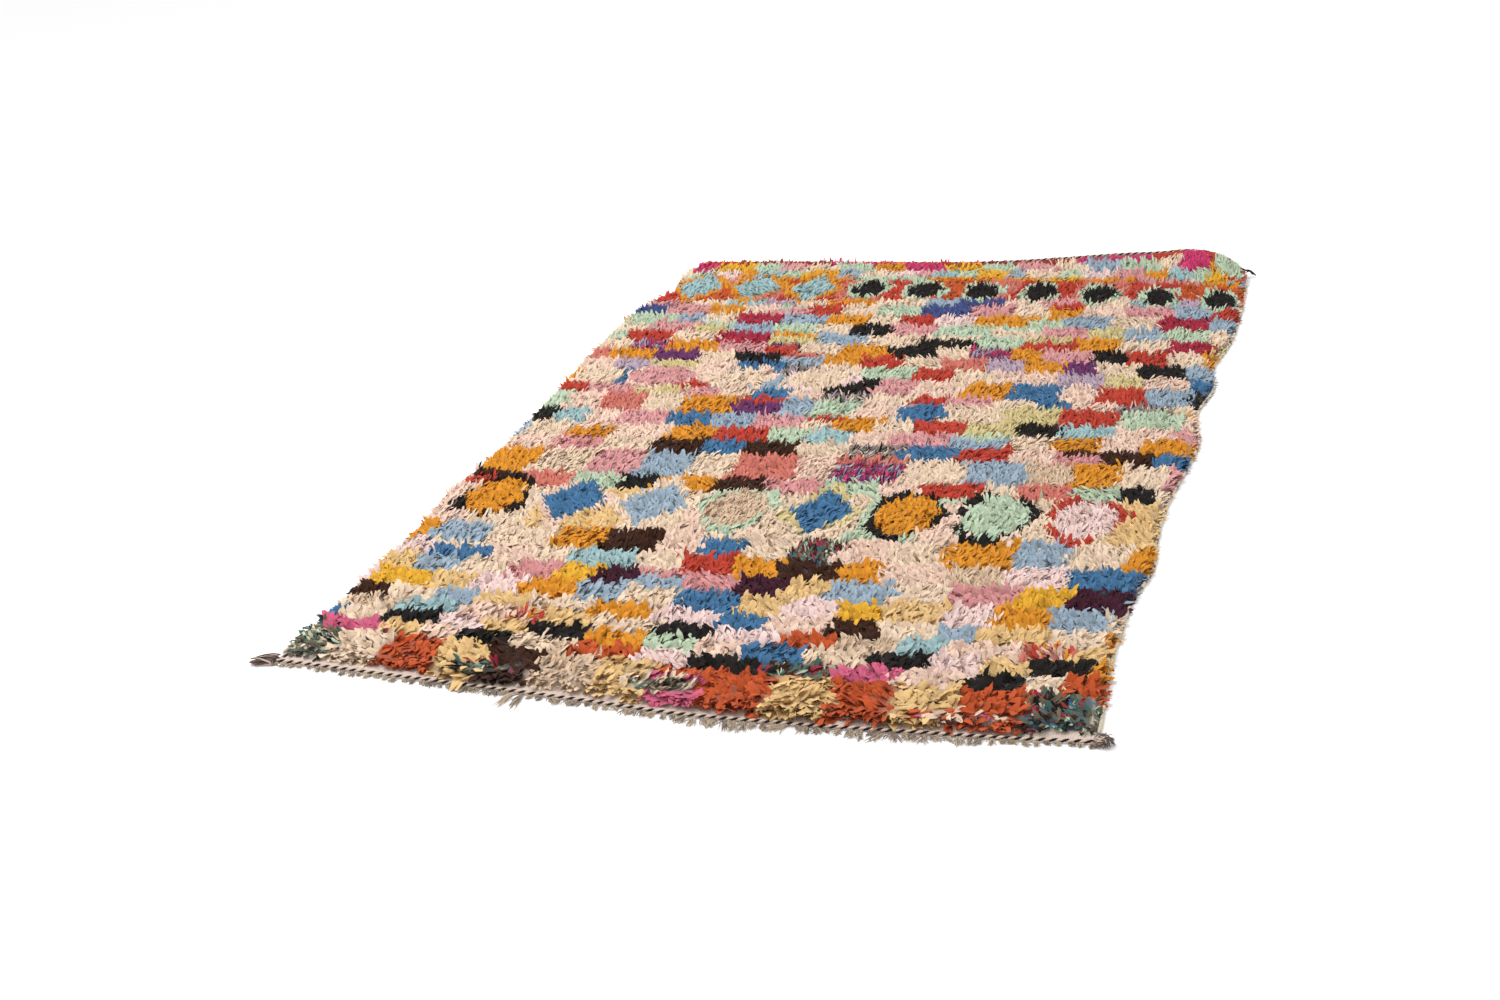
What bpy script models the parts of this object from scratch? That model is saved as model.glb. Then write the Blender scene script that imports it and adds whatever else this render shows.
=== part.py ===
"""A hand-knotted rag rug: a lumpy pile on a woven cloth, with corded, fringed and overcast edges.

Metres, +Z up, +Y from the fringed near end to the plain far end. The rug lies on z = 0, with the
middle of its outline at the origin. Near the far right corner the far edge stands up in a ripple.
"""

import math
from collections import namedtuple

import bmesh
import bpy
import numpy as np
from mathutils import Vector

# Driving sizes
LENGTH = 2.455
CLOTH_THICK = 0.0035
PILE_HEIGHT = 0.022
PILE_LUMP = 0.0045
ROW_RIDGE = 0.0020
NEAR_BAND = 0.024
FAR_BAND = 0.018
PILE_STEP = 0.003
GAP = 0.0003

CORD_RADIUS = 0.0048
CORD_BULGE = 0.17
CORD_TWISTS = 118
SELVEDGE_RADIUS = 0.0035
RIM_UNDERSIDE = 0.0078
RIM_DROP = 0.0066
LOCK_SHORTEST = 0.010
LOCK_LONGEST = 0.026
LOCK_SLANT = 0.006
LOCK_RISE = (0.0015, 0.006)
END_LOCK = (0.005, 0.013)
END_LOCK_RISE = (0.004, 0.009)

STRIP_WIDTH = 0.005
STRIP_THICK = 0.0036
FRINGE_LOCKS = 84
FRINGE_SHORTEST = 0.011
FRINGE_LONGEST = 0.021
LOCK_DRIFT = 0.0016
TUFT_X = -0.42
TUFT_SPREAD = 0.035
TASSEL_RADIUS = 0.0135

# The middle of the whole outline, measured from the loom's own middle
OUTLINE_MIDDLE = Vector((-0.0056, 0.0001, 0.0))

# Counts of the slab's sections
COLUMNS = 29
PILE_ROWS = 95

SEED = 11

Side = namedtuple("Side", "y left right")
End = namedtuple("End", "x near far")
Ripple = namedtuple("Ripple", "x lift crest")
Tail = namedtuple("Tail", "reach turn width thick")

# How the two selvedges wander along the rug
SIDES = (
    Side(-1.23, -0.722, 0.738),
    Side(-1.08, -0.714, 0.730),
    Side(-0.98, -0.712, 0.722),
    Side(-0.86, -0.722, 0.722),
    Side(-0.74, -0.717, 0.723),
    Side(-0.58, -0.724, 0.742),
    Side(-0.46, -0.739, 0.733),
    Side(-0.28, -0.730, 0.732),
    Side(-0.12, -0.733, 0.745),
    Side(0.04, -0.741, 0.755),
    Side(0.22, -0.750, 0.733),
    Side(0.38, -0.763, 0.751),
    Side(0.50, -0.768, 0.737),
    Side(0.68, -0.774, 0.756),
    Side(0.84, -0.765, 0.761),
    Side(0.95, -0.733, 0.760),
    Side(1.06, -0.750, 0.757),
    Side(1.23, -0.740, 0.748),
)

# How the two ends bow across the rug
ENDS = (
    End(-0.75, -1.203, 1.235),
    End(-0.50, -1.218, 1.255),
    End(-0.30, -1.231, 1.268),
    End(-0.10, -1.246, 1.280),
    End(0.05, -1.260, 1.285),
    End(0.24, -1.259, 1.285),
    End(0.46, -1.249, 1.278),
    End(0.62, -1.240, 1.262),
    End(0.75, -1.229, 1.232),
)

# How high the cloth stands off the floor along the far edge, and where across its length it is highest
RIPPLE = (
    Ripple(-0.20, 0.000, 1.33),
    Ripple(0.00, 0.002, 1.33),
    Ripple(0.14, 0.010, 1.33),
    Ripple(0.28, 0.024, 1.33),
    Ripple(0.42, 0.039, 1.32),
    Ripple(0.53, 0.047, 1.29),
    Ripple(0.61, 0.057, 1.25),
    Ripple(0.65, 0.056, 1.24),
    Ripple(0.70, 0.040, 1.23),
    Ripple(0.735, 0.016, 1.22),
    Ripple(0.765, 0.003, 1.22),
    Ripple(0.79, 0.000, 1.22),
)
RIPPLE_FROM = 1.10

# Sections of the yarn tail, from its root at the cord out to its tip
TAIL = (
    Tail(0.000, 0.000, 0.011, 0.007),
    Tail(0.012, 0.002, 0.016, 0.009),
    Tail(0.030, 0.010, 0.012, 0.006),
    Tail(0.046, 0.022, 0.004, 0.002),
)


def column(table, name):
    return np.array([getattr(row, name) for row in table])


def smooth(table, across, value, at):
    """Reads a table's column as a smooth cubic curve, level beyond its first and last rows."""
    xs = column(table, across)
    ys = column(table, value)
    slopes = np.gradient(ys, xs)
    slopes[0] = 0.0
    slopes[-1] = 0.0
    at = float(np.clip(at, xs[0], xs[-1]))
    i = int(np.clip(np.searchsorted(xs, at) - 1, 0, len(xs) - 2))
    span = xs[i + 1] - xs[i]
    f = (at - xs[i]) / span
    return (
        (2 * f**3 - 3 * f**2 + 1) * ys[i]
        + (f**3 - 2 * f**2 + f) * span * slopes[i]
        + (3 * f**2 - 2 * f**3) * ys[i + 1]
        + (f**3 - f**2) * span * slopes[i + 1]
    )


def on_cloth(across, along, inset=0.0):
    """The floor point at across -1 to 1 between the selvedges and along 0 to LENGTH from the near end."""
    y = along - LENGTH / 2
    left = smooth(SIDES, "y", "left", y) + inset
    right = smooth(SIDES, "y", "right", y) - inset
    x = left + (right - left) * (across + 1) / 2
    near_bow = smooth(ENDS, "x", "near", x) + LENGTH / 2
    far_bow = smooth(ENDS, "x", "far", x) - LENGTH / 2
    share = along / LENGTH
    return Vector((x, y + near_bow * (1 - share) ** 3 + far_bow * share**6, 0.0))


def ripple_at(x, y):
    """Height of the cloth off the floor: a half wave that starts at RIPPLE_FROM and peaks at the crest."""
    crest = smooth(RIPPLE, "x", "crest", x)
    share = max((y - RIPPLE_FROM) / (crest - RIPPLE_FROM), 0.0)
    return max(smooth(RIPPLE, "x", "lift", x), 0.0) * math.sin(math.pi / 2 * share) ** 2


def new_material(name, colour, roughness=0.95):
    material = bpy.data.materials.new(name)
    material.use_nodes = True
    shader = material.node_tree.nodes["Principled BSDF"]
    shader.inputs["Base Color"].default_value = (*colour, 1.0)
    shader.inputs["Roughness"].default_value = roughness
    shader.inputs["Metallic"].default_value = 0.0
    return material


def finish(bm, name, material, collection, smooth_shade=True):
    """Moves a shape to the outline's middle, lifts it with the ripple and makes its object."""
    for vert in bm.verts:
        vert.co.z += ripple_at(vert.co.x, vert.co.y)
        vert.co -= OUTLINE_MIDDLE
    mesh = bpy.data.meshes.new(name)
    bm.to_mesh(mesh)
    bm.free()
    if smooth_shade:
        mesh.shade_smooth()
    mesh.materials.append(material)
    collection.objects.link(bpy.data.objects.new(name, mesh))


def close_end(bm, ring, stepped):
    """Closes a section with upright facets. A stepped one has a point half way up both of its sides."""
    low, high = 0, len(ring) - 1
    if stepped:
        bm.faces.new((ring[high], ring[low], ring[high - 1]))
        high -= 1
    while high - low > 2:
        bm.faces.new((ring[low], ring[low + 1], ring[high - 1], ring[high]))
        low, high = low + 1, high - 1
    if high - low == 2:
        bm.faces.new((ring[low], ring[low + 1], ring[high]))


def loft(sections, stepped=False):
    """Joins closed sections of equal count, and closes both ends. Returns the bmesh and its side faces."""
    bm = bmesh.new()
    rings = [[bm.verts.new(point) for point in section] for section in sections]
    count = len(rings[0])
    sides = []
    for ring, following in zip(rings, rings[1:]):
        strip = []
        for k in range(count):
            after = (k + 1) % count
            strip.append(bm.faces.new((ring[k], ring[after], following[after], following[k])))
        sides.append(strip)
    for ring in (rings[0], rings[-1]):
        close_end(bm, ring, stepped)
    bmesh.ops.recalc_face_normals(bm, faces=bm.faces)
    return bm, sides


def pile_heights(random):
    """Top heights for each pile row and column: bricks of like knots, with a ridge on each other row."""
    heights = np.empty((PILE_ROWS, COLUMNS))
    for row in range(PILE_ROWS):
        for col in range(COLUMNS):
            if row % 2 == 0 and col % 2 == (row // 2) % 2:
                lump = random.uniform(-PILE_LUMP, PILE_LUMP)
                heights[row : row + 2, max(col - 1, 0) : col + 2] = PILE_HEIGHT + lump
    heights[::2] += ROW_RIDGE
    heights[1::2] -= ROW_RIDGE
    heights[:, (0, -1)] -= RIM_DROP
    heights[(0, -1), :] -= RIM_DROP
    return np.maximum(heights, RIM_UNDERSIDE + PILE_STEP)


def body_section(along, heights):
    """One section across the rug, from the floor's left corner to its right one and back over the pile."""
    inset = 2 * SELVEDGE_RADIUS + GAP
    step = RIM_UNDERSIDE if heights[0] > RIM_UNDERSIDE else 0.5 * heights[0]
    across = np.linspace(-1, 1, COLUMNS)
    section = [on_cloth(t, along, inset) for t in across]
    section.append(section[-1] + Vector((0, 0, step)))
    for t, height in zip(reversed(across), reversed(heights)):
        section.append(on_cloth(t, along, inset) + Vector((0, 0, height)))
    section.append(section[0] + Vector((0, 0, step)))
    return section


def make_body(random, collection):
    """The woven cloth: thin bands at both ends, the thick pile between, and a lock on each rim face."""
    band = np.full(COLUMNS, CLOTH_THICK)
    pile = pile_heights(random)
    places = [0.0, NEAR_BAND]
    places += list(np.linspace(NEAR_BAND + PILE_STEP, LENGTH - FAR_BAND - PILE_STEP, PILE_ROWS))
    places += [LENGTH - FAR_BAND, LENGTH]
    rows = [band, band, *pile, band, band]
    bm, sides = loft([body_section(along, heights) for along, heights in zip(places, rows)], stepped=True)

    right_rim = COLUMNS
    left_rim = 2 * COLUMNS
    over_pile = range(COLUMNS + 1, 2 * COLUMNS)
    for strip in sides[2:-2]:
        for k, way in ((right_rim, 1), (left_rim, -1)):
            tip = bmesh.ops.poke(bm, faces=[strip[k]])["verts"][0]
            tip.co.x += way * random.uniform(LOCK_SHORTEST, LOCK_LONGEST)
            tip.co.y += random.uniform(-LOCK_SLANT, LOCK_SLANT)
            tip.co.z = RIM_UNDERSIDE + random.uniform(*LOCK_RISE)
    for strip, way in ((sides[1], -1), (sides[-2], 1)):
        for k in over_pile:
            tip = bmesh.ops.poke(bm, faces=[strip[k]])["verts"][0]
            tip.co.y += way * random.uniform(*END_LOCK)
            tip.co.z = CLOTH_THICK + random.uniform(*END_LOCK_RISE)
    finish(bm, "rug_body", new_material("rag pile", (0.62, 0.40, 0.28)), collection, smooth_shade=False)


def end_line(along, outward, stations):
    """Points beside an end of the body, this far outside its edge, on the edge's own straight facets."""
    inset = 2 * SELVEDGE_RADIUS + GAP
    knots = [on_cloth(t, along, inset) for t in np.linspace(-1, 1, COLUMNS)]
    xs = [point.x for point in knots]
    ys = [point.y for point in knots]
    way = -1 if along == 0 else 1
    return [
        Vector((x, float(np.interp(x, xs, ys)) + way * outward, 0.0))
        for x in np.linspace(xs[0], xs[-1], stations)
    ]


def cord_sections(line, radii, sideways, sides=4):
    """Even-sided sections along a cord's line. A radius runs to the flats, and one flat is on the floor."""
    sections = []
    for i, point in enumerate(line):
        corner = radii[i] / math.cos(math.pi / sides)
        section = []
        for k in range(sides):
            turn = 2 * math.pi * (k + 0.5) / sides - math.pi / 2
            height = radii[i] + corner * math.sin(turn)
            section.append(point + sideways * corner * math.cos(turn) + Vector((0, 0, height)))
        sections.append(section)
    return sections


def make_twined_cord(name, along, collection):
    """A cord of two yarns twined over each other, which swells at each crossing."""
    stations = 2 * CORD_TWISTS + 1
    line = end_line(along, GAP + CORD_RADIUS, stations)
    radii = [CORD_RADIUS * (1 - CORD_BULGE * (i % 2)) for i in range(stations)]
    bm, _ = loft(cord_sections(line, radii, Vector((0, 1, 0))))
    finish(bm, name, new_material(name.replace("_", " "), (0.10, 0.07, 0.11)), collection)


def make_selvedge(name, across, collection):
    """The overcast cord along a long side, with a section at each of the body's own rows."""
    places = np.linspace(NEAR_BAND + PILE_STEP, LENGTH - FAR_BAND - PILE_STEP, PILE_ROWS)
    line = [on_cloth(across, along, SELVEDGE_RADIUS) for along in places]
    bm, _ = loft(cord_sections(line, [SELVEDGE_RADIUS] * len(line), Vector((1, 0, 0))))
    finish(bm, name, new_material(name.replace("_", " "), (0.66, 0.56, 0.45)), collection)


def draw_out(bm, face, reach, drift, share, height):
    """Extrudes a face into the next stretch of a lock, narrower by share and level on the floor."""
    lock = bmesh.ops.extrude_discrete_faces(bm, faces=[face])["faces"][0]
    middle = lock.calc_center_median()
    for vert in lock.verts:
        above = vert.co.z > middle.z
        vert.co.x = middle.x + drift + (vert.co.x - middle.x) * share
        vert.co.y = middle.y - reach
        vert.co.z = height if above else 0.0
    return lock


def make_near_fringe(random, collection):
    """Warp ends knotted off short: one lock on each other facet of a narrow strip outside the cord."""
    outward = GAP + 2 * CORD_RADIUS + GAP + STRIP_WIDTH / 2
    line = end_line(0.0, outward, 2 * FRINGE_LOCKS)
    half = STRIP_WIDTH / 2
    sections = [
        [
            point + Vector((0, half, 0)),
            point + Vector((0, half, STRIP_THICK)),
            point + Vector((0, -half, STRIP_THICK)),
            point + Vector((0, -half, 0)),
        ]
        for point in line
    ]
    bm, sides = loft(sections)
    for point, strip in zip(line[::2], sides[::2]):
        length = random.uniform(FRINGE_SHORTEST, FRINGE_LONGEST)
        length *= 1 + math.exp(-(((point.x - TUFT_X) / TUFT_SPREAD) ** 2))
        drift = random.uniform(-LOCK_DRIFT, LOCK_DRIFT)
        middle = draw_out(bm, strip[2], 0.6 * length, drift, 0.85, 0.8 * STRIP_THICK)
        draw_out(bm, middle, 0.4 * length, drift, 0.45, 0.4 * STRIP_THICK)
    finish(bm, "near_fringe", new_material("warp ends", (0.33, 0.27, 0.22)), collection)


def make_corner_tassel(random, collection):
    """A knotted ball of warp ends with short locks, on a flat foot at the near cord's right end."""
    cord_end = end_line(0.0, GAP + CORD_RADIUS, 2)[-1]
    foot = 0.55 * TASSEL_RADIUS
    bm = bmesh.new()
    bmesh.ops.create_uvsphere(bm, u_segments=12, v_segments=8, radius=TASSEL_RADIUS)
    for vert in bm.verts:
        vert.co *= 1 + random.uniform(-0.06, 0.06)
        vert.co.z = max(vert.co.z * 0.8, -foot) + foot
    seat = min(vert.co.x for vert in bm.verts)
    bm.normal_update()
    belt = [face for face in bm.faces if abs(face.normal.z) < 0.5 and face.normal.x > -0.3]
    for face in belt[::2]:
        outward = Vector((face.normal.x, face.normal.y, 0)) * random.uniform(0.004, 0.008)
        lock = bmesh.ops.extrude_discrete_faces(bm, faces=[face])["faces"][0]
        middle = lock.calc_center_median()
        for vert in lock.verts:
            vert.co = middle + (vert.co - middle) * 0.4 + outward
    for vert in bm.verts:
        vert.co += cord_end + Vector((GAP - seat, 0.0, 0.0))
    finish(bm, "corner_tassel", new_material("tassel yarn", (0.16, 0.11, 0.08)), collection)


def make_corner_tail(collection):
    """A loose flat tail of yarn that leaves the near cord's left end and turns towards the near side."""
    cord_end = end_line(0.0, GAP + CORD_RADIUS, 2)[0]
    sections = []
    for row in TAIL:
        point = cord_end + Vector((-GAP - row.reach, -row.turn, 0.0))
        half = row.width / 2
        sections.append(
            [
                point + Vector((0, half, 0)),
                point + Vector((0, half, row.thick * 0.6)),
                point + Vector((0, 0, row.thick)),
                point + Vector((0, -half, row.thick * 0.6)),
                point + Vector((0, -half, 0)),
            ]
        )
    bm, _ = loft(sections)
    finish(bm, "corner_tail", new_material("tail yarn", (0.20, 0.12, 0.08)), collection)


def main():
    for obj in list(bpy.data.objects):
        bpy.data.objects.remove(obj, do_unlink=True)
    collection = bpy.data.collections.new("boucherouite rug")
    bpy.context.scene.collection.children.link(collection)
    random = np.random.default_rng(SEED)
    make_body(random, collection)
    make_twined_cord("near_twined_cord", 0.0, collection)
    make_twined_cord("far_twined_cord", LENGTH, collection)
    make_selvedge("left_selvedge", -1, collection)
    make_selvedge("right_selvedge", 1, collection)
    make_near_fringe(random, collection)
    make_corner_tassel(random, collection)
    make_corner_tail(collection)


main()
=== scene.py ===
"""The looks of the boucherouite rug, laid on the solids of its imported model.

Lengths are in metres. X runs across the rug, Y along it from the fringed near end to the plain far end, and
Z up from the floor.
"""

import math
from collections import namedtuple

import bpy
import numpy as np
from mathutils import Matrix, Vector


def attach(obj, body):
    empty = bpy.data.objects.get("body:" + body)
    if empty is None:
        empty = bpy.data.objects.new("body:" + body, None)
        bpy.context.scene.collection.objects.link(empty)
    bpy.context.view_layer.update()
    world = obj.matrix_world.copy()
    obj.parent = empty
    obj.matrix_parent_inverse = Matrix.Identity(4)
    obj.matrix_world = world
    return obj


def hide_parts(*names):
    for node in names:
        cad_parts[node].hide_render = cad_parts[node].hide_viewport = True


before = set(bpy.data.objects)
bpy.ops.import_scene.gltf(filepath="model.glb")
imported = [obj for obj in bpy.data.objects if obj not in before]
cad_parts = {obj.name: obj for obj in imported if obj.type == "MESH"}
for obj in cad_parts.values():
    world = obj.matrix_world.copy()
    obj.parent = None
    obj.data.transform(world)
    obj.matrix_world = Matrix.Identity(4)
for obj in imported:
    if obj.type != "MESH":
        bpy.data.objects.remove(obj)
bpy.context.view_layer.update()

bl_info = {
    "name": "Boucherouite rug",
    "version": (1, 0, 0),
    "blender": (4, 5, 0),
    "location": "View3D > Sidebar > Rug",
    "description": "Dresses a flat rag rug with its pile, weave, cords, fringe and tassel",
    "category": "Object",
}

# The woven cloth, its cords and its fringe, as on the solids
LENGTH = 2.455
CLOTH_THICK = 0.0035
NEAR_BAND = 0.024
FAR_BAND = 0.018
PILE_END = LENGTH - FAR_BAND
PILE_STEP = 0.003
GAP = 0.0003
CORD_RADIUS = 0.0048
SELVEDGE_RADIUS = 0.0035
EDGE_INSET = 2 * SELVEDGE_RADIUS + GAP
STRIP_WIDTH = 0.005
FRINGE_LOCKS = 84
TASSEL_RADIUS = 0.0135
OUTLINE_MIDDLE = np.array((-0.0056, 0.0001, 0.0))
FACETS = 29
RIPPLE_FROM = 1.10

# The knots of the pile: a strip's X is about HALF_WIDTH times its place across, from -1 to 1
HALF_WIDTH = 0.73
KNOT_ROWS = 95
ROW_PITCH = (LENGTH - NEAR_BAND - FAR_BAND) / KNOT_ROWS
STRIPS_A_KNOT = 4
PACKED = 0.0115

# The rim of the pile, where strips hang outwards: its share of half the width, and its depth at the two ends
SIDE_RIM = 0.014
NEAR_RIM = 0.013
FAR_RIM = 0.010

# The heading towards the far end, the most blocks and courses that are numbered, and the seed of every draw
BACKWARDS = math.pi / 2
BLOCKS_A_COURSE = 64
MOST_COURSES = 64
SEED = 11

# The yarns: the cords' turns, the radii of their dark and cream strands, their loose ends at the far right
# corner, the yarns of a fringe lock, the longer tuft in the fringe, and the corner yarns
CORD_TURNS = 79
STRAND_RADII = np.array((0.0024, 0.0025))
FAR_ENDS = 5
YARNS_A_LOCK = 13
TUFT_X = -0.24
TUFT_SPREAD = 0.018
TUFT_LENGTH = 0.050
TASSEL_TURNS = 46
TASSEL_ENDS = 60
TAIL_YARNS = 48

Side = namedtuple("Side", "y left right")
SIDES = tuple(
    Side(*row)
    for row in (
        (-1.23, -0.722, 0.738), (-1.08, -0.714, 0.730), (-0.98, -0.712, 0.722), (-0.86, -0.722, 0.722),
        (-0.74, -0.717, 0.723), (-0.58, -0.724, 0.742), (-0.46, -0.739, 0.733), (-0.28, -0.730, 0.732),
        (-0.12, -0.733, 0.745), (0.04, -0.741, 0.755), (0.22, -0.750, 0.733), (0.38, -0.763, 0.751),
        (0.50, -0.768, 0.737), (0.68, -0.774, 0.756), (0.84, -0.765, 0.761), (0.95, -0.733, 0.760),
        (1.06, -0.750, 0.757), (1.23, -0.740, 0.748),
    )
)

End = namedtuple("End", "x near far")
ENDS = tuple(
    End(*row)
    for row in (
        (-0.75, -1.203, 1.235), (-0.50, -1.218, 1.255), (-0.30, -1.231, 1.268), (-0.10, -1.246, 1.280),
        (0.05, -1.260, 1.285), (0.24, -1.259, 1.285), (0.46, -1.249, 1.278), (0.62, -1.240, 1.262),
        (0.75, -1.229, 1.232),
    )
)

Ripple = namedtuple("Ripple", "x lift crest")
RIPPLE = tuple(
    Ripple(*row)
    for row in (
        (-0.20, 0.000, 1.33), (0.00, 0.002, 1.33), (0.14, 0.010, 1.33), (0.28, 0.024, 1.33),
        (0.42, 0.039, 1.32), (0.53, 0.047, 1.29), (0.61, 0.057, 1.25), (0.65, 0.056, 1.24),
        (0.70, 0.040, 1.23), (0.735, 0.016, 1.22), (0.765, 0.003, 1.22), (0.79, 0.000, 1.22),
    )
)

# How far a knot row climbs from left to right, for each metre across
Climb = namedtuple("Climb", "along climb")
CLIMBS = tuple(
    Climb(*row)
    for row in (
        (0.00, 0.000), (0.30, 0.020), (0.80, 0.078), (1.15, 0.050),
        (1.50, 0.000), (1.90, 0.040), (2.20, 0.085), (2.455, 0.000),
    )
)

# Rags that are sewn in by the handful, each with the shares of its own colours
MIXED_RAGS = {
    "olive_rags": {"olive": 6, "mint": 2, "charcoal": 2, "cream": 2, "teal": 1},
    "dark_rags": {
        "charcoal": 2, "dark_brown": 4, "teal": 5, "crimson": 4, "olive": 6, "cobalt": 1, "mint": 2,
    },
    "ember_rags": {"marigold": 3, "coral": 3, "tomato": 2, "blush": 2},
    "blossom_rags": {"cream": 4, "pale_pink": 2, "dark_brown": 1, "coral": 2},
    "purple_rags": {"purple": 3, "magenta": 2, "light_blue": 2, "crimson": 2, "charcoal": 1},
    "grey_speckle": {"grey": 5, "charcoal": 2, "cream": 2, "lilac": 1},
    "thin_red": {"orange_red": 4, "cream": 4, "hot_pink": 1},
}

# Courses of blocks from the near end: how many knot rows, the mean width of a block, and the rags in turn.
# The first course runs through its list once, from the left; the others start their lists anywhere.
Course = namedtuple("Course", "rows wide rags")
COURSES = (
    Course(4, 0.105, "olive_rags cream orange_red butter dark_brown taupe butter hot_pink orange_red"
           " butter orange_red butter orange_red dark_rags"),
    Course(2, 0.100, "charcoal cream orange_red pale_pink charcoal dark_rags hot_pink butter blush"),
    Course(2, 0.095, "cobalt cream charcoal pale_pink butter charcoal orange_red marigold mint blush"),
    Course(2, 0.095, "pale_pink orange_red cream taupe aqua blush ember_rags butter cream charcoal"),
    Course(2, 0.100, "blush taupe dark_brown cream light_blue butter cream marigold pale_pink cobalt blush"),
    Course(3, 0.105, "cobalt butter pale_pink yellow butter pale_pink marigold cream light_blue cream"),
    Course(3, 0.100, "light_blue rose plum butter light_blue cream rose yellow light_blue plum cream"),
    Course(3, 0.105, "marigold dark_brown marigold cream blush taupe pale_pink cobalt blush cream aqua"
           " cream tomato"),
    Course(4, 0.105, "cobalt cream dark_rags blush cream marigold light_blue cream marigold dark_brown"
           " blush"),
    Course(8, 0.150, "cream blush cream mint blush cream butter"),
    Course(3, 0.095, "dark_brown cream rose mint blush tomato cream coral mint charcoal cream marigold"
           " blush"),
    Course(5, 0.110, "light_blue marigold cream coral blush purple_rags cream light_blue taupe marigold"
           " cream pink"),
    Course(3, 0.100, "cobalt dark_brown blush cream grey_speckle cream cobalt tomato blush rose cream"
           " dark_brown"),
    Course(3, 0.105, "marigold tomato mint cream aqua blush pink light_blue cream marigold blush"),
    Course(3, 0.095, "cobalt light_blue pink cream marigold cream tomato straw charcoal aqua blush pink"),
    Course(4, 0.105, "straw tomato mint blush coral cream marigold purple light_blue cream mint blush"
           " cobalt cream"),
    Course(2, 0.100, "pink cream cobalt blush mint grey_speckle cream tomato pink straw"),
    Course(4, 0.090, "light_blue cream charcoal pink blush marigold cream cobalt blush tomato grey_speckle"),
    Course(3, 0.110, "cream mint tomato cream blush lilac straw blush cobalt cream grey_speckle"),
    Course(3, 0.100, "tomato cream coral lilac marigold purple cream charcoal light_blue marigold"),
    Course(3, 0.095, "cream marigold charcoal cream purple_rags marigold pink charcoal tomato"),
    Course(3, 0.110, "straw light_blue cream charcoal mint tomato marigold cream crimson"),
    Course(3, 0.110, "mint cream pink straw light_blue mint cream charcoal pink"),
    Course(3, 0.100, "light_blue marigold cream tomato pale_pink marigold mint light_blue cream crimson"),
    Course(3, 0.095, "pink light_blue tomato cream mint royal pink cream marigold blush"),
    Course(2, 0.100, "cream marigold mint cream light_blue royal blush pink cream aqua lilac"),
    Course(6, 0.130, "tomato coral tomato orange_red coral"),
    Course(1, 0.180, "marigold yellow marigold pink marigold mint"),
    Course(2, 0.065, "mint yellow light_blue cream mint pale_pink pink marigold aqua"),
    Course(2, 0.085, "magenta yellow mint pink cream light_blue mint cream marigold"),
    Course(1, 0.200, "brick magenta tomato brick"),
)

# Rows of larger shapes: their place along the cloth, the first one's X, the step to the next, their width and
# length, how far the rim reaches as a share of that, and each one's shape, rag and rim
Motifs = namedtuple("Motifs", "along first step wide long rim shapes")
MOTIFS = (
    Motifs(0.030, -0.325, 0.325, 0.120, 0.045, 1.20, "oval:dark_rags:dark_brown oval:olive_rags:cream"),
    Motifs(-0.027, 0.520, 0.100, 0.170, 0.034, 1.10, "oval:thin_red:orange_red"),
    Motifs(0.752, -0.615, 0.172, 0.120, 0.185, 1.22, "oval:marigold:charcoal diamond:cobalt:blush"
           " diamond:light_blue:cream oval:taupe:mint diamond:cobalt:straw oval:marigold:charcoal"
           " oval:mint:charcoal oval:pale_pink:tomato"),
    Motifs(1.500, -0.520, 0.190, 0.155, 0.125, 1.16, "oval:pink:blush oval:cream:blush oval:cream:pale_pink"),
    Motifs(2.200, -0.660, 0.156, 0.112, 0.170, 1.36, 3 * "diamond:aqua:marigold "),
    Motifs(2.203, -0.200, 0.150, 0.086, 0.120, 1.30, 7 * "oval:charcoal:mint "),
    Motifs(2.405, 0.615, 0.090, 0.075, 0.075, 1.20, "oval:magenta:magenta oval:mint:tomato"),
)

# Cut rags: their colours as seen in daylight
RAGS = {
    "cream": (0.84, 0.75, 0.655),
    "blush": (0.85, 0.735, 0.665),
    "pale_pink": (0.86, 0.755, 0.735),
    "pink": (0.78, 0.56, 0.56),
    "rose": (0.77, 0.53, 0.53),
    "hot_pink": (0.75, 0.35, 0.47),
    "coral": (0.75, 0.43, 0.38),
    "magenta": (0.74, 0.22, 0.4),
    "crimson": (0.6, 0.15, 0.23),
    "tomato": (0.68, 0.23, 0.17),
    "orange_red": (0.7, 0.305, 0.15),
    "brick": (0.55, 0.21, 0.16),
    "marigold": (0.79, 0.52, 0.14),
    "yellow": (0.82, 0.62, 0.18),
    "butter": (0.82, 0.685, 0.475),
    "straw": (0.76, 0.70, 0.50),
    "mint": (0.675, 0.74, 0.64),
    "aqua": (0.57, 0.68, 0.69),
    "light_blue": (0.555, 0.622, 0.68),
    "cobalt": (0.245, 0.412, 0.56),
    "royal": (0.24, 0.28, 0.47),
    "teal": (0.24, 0.37, 0.35),
    "lilac": (0.67, 0.59, 0.65),
    "purple": (0.39, 0.19, 0.37),
    "plum": (0.23, 0.08, 0.145),
    "dark_brown": (0.21, 0.108, 0.055),
    "charcoal": (0.10, 0.085, 0.077),
    "olive": (0.39, 0.37, 0.30),
    "taupe": (0.8, 0.695, 0.59),
    "grey": (0.50, 0.47, 0.45),
}

KINDS = list(RAGS) + list(MIXED_RAGS)

# Rags that are cut finer than the rest, or are yarn, and the share of the usual width
FINE_RAGS = {
    "taupe": 0.50, "olive_rags": 0.50, "dark_rags": 0.62, "purple_rags": 0.60,
    "grey_speckle": 0.55, "ember_rags": 0.70, "pale_pink": 0.80, "plum": 0.85,
}

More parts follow.
